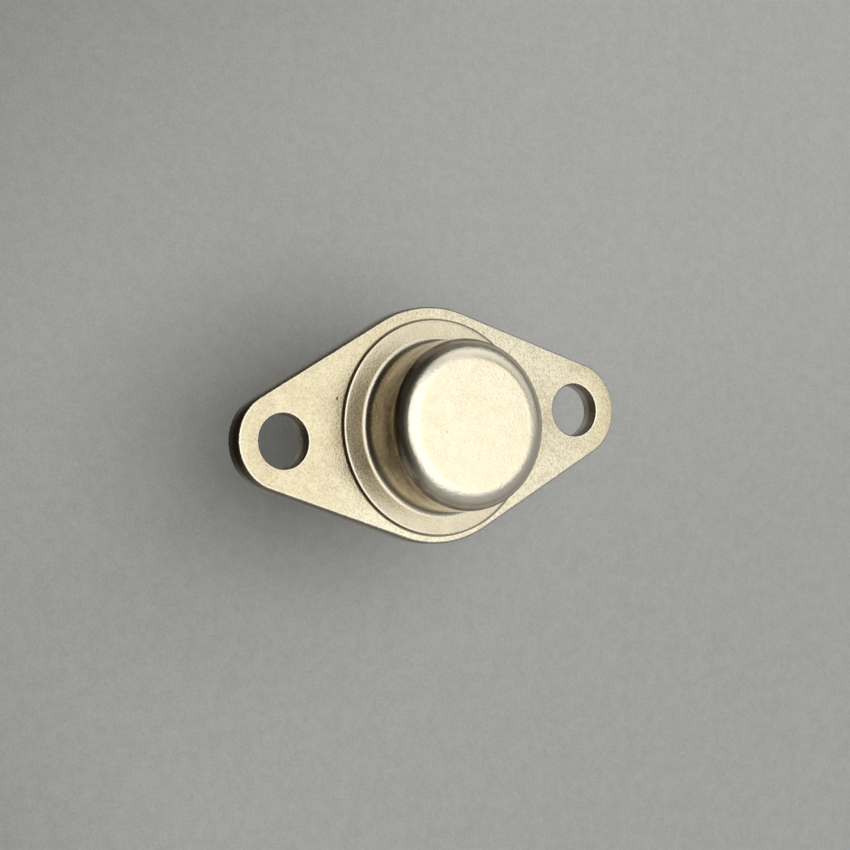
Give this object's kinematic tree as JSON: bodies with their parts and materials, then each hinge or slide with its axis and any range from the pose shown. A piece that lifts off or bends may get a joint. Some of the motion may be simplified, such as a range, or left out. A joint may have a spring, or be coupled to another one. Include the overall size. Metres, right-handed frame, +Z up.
{
  "type": "triac",
  "caption": "Triac in a sealed metal can with a rhombic two-hole mounting flange and two straight pins below.",
  "frame": {"origin": "centre of the flange's underside, midway between the two mounting holes, on the face that seats on a heatsink", "axes": "+X along the line of the mounting holes, away from the pins; +Z up through the cap; pins point along -Z, gate at +Y and main terminal 1 at -Y"},
  "size_m": [0.0314, 0.0168, 0.0178],
  "materials": {
    "flange_plating": "satin nickel plate on stamped steel",
    "cap_plating": "bright satin nickel plate on drawn steel",
    "seal_glass": "dark fused glass",
    "pin_plating": "nickel plate on iron-nickel wire",
    "braze": "silver braze",
    "copper": "bare copper, satin",
    "solder": "dull solder",
    "molybdenum": "ground molybdenum",
    "silicon": "polished silicon",
    "coating": "cured varnish",
    "clip_plating": "tinned copper strip"
  },
  "bodies": {
    "root": {"mounting_flange": "flange_plating", "cap": "cap_plating", "gate_seal": "seal_glass", "main_terminal_1_seal": "seal_glass", "gate_pin": "pin_plating", "main_terminal_1_pin": "pin_plating", "spreader_braze": "braze", "heat_spreader": "copper", "plate_solder": "solder", "molybdenum_plate": "molybdenum", "die_solder": "solder", "triac_chip": "silicon", "junction_coating": "coating", "gate_contact_solder": "solder", "main_terminal_1_contact_solder": "solder", "gate_clip": "clip_plating", "main_terminal_1_clip": "clip_plating", "gate_pin_solder": "solder", "main_terminal_1_pin_solder": "solder"}
  },
  "joints": []
}
